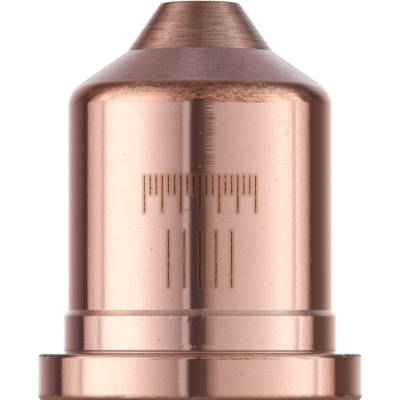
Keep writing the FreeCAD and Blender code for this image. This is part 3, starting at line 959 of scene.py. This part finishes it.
def wall_light(side, degrees, brightness):
    """A wall's colour: the dimmer it is, the warmer, but for the cool strip."""
    if side.cool_strip and side.cool_strip[0] <= degrees <= side.cool_strip[1]:
        return brightness, brightness * COOL_TINT[0], brightness * COOL_TINT[1]
    tint = side.far_tint if degrees > WARM_STRETCH[1] else side.tint
    share = min(1.0, brightness / WHITE_FROM)
    if WARM_STRETCH[0] <= degrees <= WARM_STRETCH[1]:
        dim, bright = WARM_BRIGHTNESS
        tint = WARM_TINT
        share = min(1.0, max(0.0, (brightness - dim) / (bright - dim)))
    green, blue = (low + (1 - low) * share for low in tint)
    return red_light(brightness), brightness * green, brightness * blue


def by_angle(room, degrees, stops):
    """Colours along an angle from 0 to 180 degrees."""
    stops = [(place / 180, colour) for place, colour in stops]
    return room.ramp(room.math("DIVIDE", degrees, 180.0), stops)


def wall_colours(room, side, degrees):
    """A wall's colours along an angle."""
    stops = [(place, wall_light(side, place, brightness)) for place, brightness in side.wall]
    return by_angle(room, degrees, stops)


def place_on_walls(room, x, y, z, elevation, turn, on_right):
    """The angle at which the walls' colour is taken, and whether the place is behind the object."""
    lean = room.mix(on_right, LEFT.lean, RIGHT.lean)
    lean = room.both(lean, room.fade(elevation, *LEAN_HEIGHT), room.fade(turn, *LEAN_TURN))
    above_seam = room.both(room.fade(elevation, *SEAM_TOP), room.band(turn, *SEAM, SEAM_EDGE))
    low_place = room.mix(above_seam, room.math("ADD", turn, lean), SEAM[0])

    wall_end = room.mix(on_right, LEFT.end, RIGHT.end)
    forward = room.both(y, -1.0)
    in_front = room.math("GREATER_THAN", forward, room.math("COSINE", room.math("RADIANS", wall_end)))
    behind = room.math("SUBTRACT", 1.0, in_front)
    squeezed = room.vectors("NORMALIZE", room.join(x, y, room.both(z, BACKDROP_HEIGHT)))
    from_camera = room.math("DEGREES", room.math("ARCCOSINE", room.both(room.split(squeezed)[1], -1.0)))
    high_place = room.mix(behind, room.math("MINIMUM", turn, wall_end), from_camera)
    return room.mix(room.fade(elevation, *WALL_HEIGHT), low_place, high_place), behind


def light_studio():
    """Soft light from the walls and a dim ceiling. The camera sees plain white behind the object."""
    world = bpy.data.worlds.new("studio")
    world.use_nodes = True
    bpy.context.scene.world = world
    room = Graph(world.node_tree)
    x, y, z = room.split(room.add("ShaderNodeTexCoord").outputs["Generated"])
    elevation = room.math("DEGREES", room.math("ARCSINE", z))
    round_object = room.math("DEGREES", room.math("ARCTAN2", x, room.both(y, -1.0)))
    on_right = room.math("GREATER_THAN", round_object, 0.0)
    turn = room.math("ABSOLUTE", round_object)

    place, behind = place_on_walls(room, x, y, z, elevation, turn, on_right)
    walls = room.blend(on_right, wall_colours(room, LEFT, place), wall_colours(room, RIGHT, place))
    ceiling = room.blend(on_right, by_angle(room, turn, LEFT.ceiling), by_angle(room, turn, RIGHT.ceiling))
    front_ceiling = room.blend(room.fade(elevation, *FRONT_OVERHEAD_HEIGHT), ceiling, FRONT_OVERHEAD)
    rear_overhead = room.blend(on_right, LEFT.rear_overhead, RIGHT.rear_overhead)
    rear_ceiling = room.blend(room.fade(elevation, *REAR_OVERHEAD_HEIGHT), ceiling, rear_overhead)
    rear_ceiling = room.blend(room.fade(elevation, *REAR_ZENITH_HEIGHT), rear_ceiling, REAR_ZENITH)

    front_light = room.blend(room.fade(elevation, *FRONT_CEILING_HEIGHT), walls, front_ceiling)
    back_light = room.blend(room.fade(elevation, *REAR_CEILING_HEIGHT), walls, rear_ceiling)
    light = room.blend(behind, front_light, back_light)
    below = room.fade(z, *(math.sin(math.radians(degrees)) for degrees in BELOW_FLOOR))
    light = room.blend(below, light, PLAIN_BELOW)

    paths = room.add("ShaderNodeLightPath")
    background = room.add("ShaderNodeBackground")
    room.feed(background.inputs[0], room.blend(paths.outputs["Is Camera Ray"], light, CAMERA_WHITE))
    output = room.add("ShaderNodeOutputWorld")
    room.feed(output.inputs[0], background.outputs[0])


# The floor: half its width in metres and its grey. Its own glow, for the camera and for the metal, is given
# by two distances from the axis in millimetres and the strengths at them. Between the last pair of distances
# the floor becomes clear to reflections.
FLOOR_HALF_WIDTH = 1.0
FLOOR_GREY = (0.8, 0.8, 0.8, 1)
# The glow is weaker near the object: a painted contact shadow.
SHADOWED_GLOW_TO_CAMERA = (FLANGE_RADIUS - 0.2, FLANGE_RADIUS + 0.6, 0.35, 0.8)
SHADOWED_GLOW_TO_METAL = (FLANGE_RADIUS, FLANGE_RADIUS + 18.0, 0.12, 0.7)
CLEAR_FROM = (FLANGE_RADIUS + 2.0, FLANGE_RADIUS + 6.0)


def lay_floor():
    """A pale floor that keeps the soft shadow. Far from the object, reflections look through it."""
    half = FLOOR_HALF_WIDTH
    corners = [(-half, -half, 0), (half, -half, 0), (half, half, 0), (-half, half, 0)]
    mesh = bpy.data.meshes.new("floor")
    mesh.from_pydata(corners, [], [(0, 1, 2, 3)])
    floor = bpy.data.objects.new("floor", mesh)
    bpy.context.scene.collection.objects.link(floor)
    material = bpy.data.materials.new("pale_floor")
    material.use_nodes = True
    mesh.materials.append(material)
    graph = Graph(material.node_tree)
    x, y, z = graph.split(graph.add("ShaderNodeTexCoord").outputs["Object"])
    reach = graph.math("SQRT", graph.math("ADD", graph.both(x, x), graph.both(y, y)))
    reach = graph.both(reach, METRE)
    paths = graph.add("ShaderNodeLightPath")
    # Glow that dims near the object, a painted contact shadow.
    to_camera = graph.both(paths.outputs["Is Camera Ray"], graph.fade(reach, *SHADOWED_GLOW_TO_CAMERA))
    to_metal = graph.both(paths.outputs["Is Glossy Ray"], graph.fade(reach, *SHADOWED_GLOW_TO_METAL))
    diffuse = graph.add("ShaderNodeBsdfDiffuse")
    graph.feed(diffuse.inputs[0], FLOOR_GREY)
    glow = graph.add("ShaderNodeEmission")
    graph.feed(glow.inputs[0], (1, 1, 1, 1))
    graph.feed(glow.inputs[1], graph.math("ADD", to_camera, to_metal))
    lit = graph.add("ShaderNodeAddShader")
    graph.feed(lit.inputs[0], diffuse.outputs[0])
    graph.feed(lit.inputs[1], glow.outputs[0])
    clear = graph.add("ShaderNodeBsdfTransparent")
    far_reflection = graph.both(paths.outputs["Is Glossy Ray"], graph.fade(reach, *CLEAR_FROM))
    surface = graph.add("ShaderNodeMixShader")
    graph.feed(surface.inputs[0], far_reflection)
    graph.feed(surface.inputs[1], lit.outputs[0])
    graph.feed(surface.inputs[2], clear.outputs[0])
    output = graph.add("ShaderNodeOutputMaterial")
    graph.feed(output.inputs[0], surface.outputs[0])
    floor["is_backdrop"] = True


def place_camera():
    """The camera stands where the photograph's perspective puts it and looks at the object's middle."""
    data = bpy.data.cameras.new("camera")
    data.sensor_width = SENSOR_WIDTH
    data.lens = SENSOR_WIDTH * CAMERA_DISTANCE / FIELD_WIDTH
    data.clip_start = 0.01
    data.clip_end = 10
    camera = bpy.data.objects.new("camera", data)
    camera.location = Vector((0, -CAMERA_DISTANCE, CAMERA_HEIGHT)) / METRE
    tilt = math.atan((AIM_HEIGHT - CAMERA_HEIGHT) / CAMERA_DISTANCE)
    camera.rotation_euler = (math.pi / 2 + tilt, 0, 0)
    bpy.context.scene.collection.objects.link(camera)
    bpy.context.scene.camera = camera


place_camera()
light_studio()
lay_floor()
nozzle = make_turned_piece({
    "wall": wall_copper(),
    "groove": groove_copper(),
    "step": step_copper(),
    "shoulder": shoulder_copper(),
    "tip": tip_copper(),
    "bore": bore_copper(),
})
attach(nozzle, "root")
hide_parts(NODE)
bpy.context.scene.view_settings.view_transform = "Standard"

boxes = {"packed": packed_box, "shown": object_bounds()}
{name: [list(corner) for corner in box] for name, box in boxes.items()}
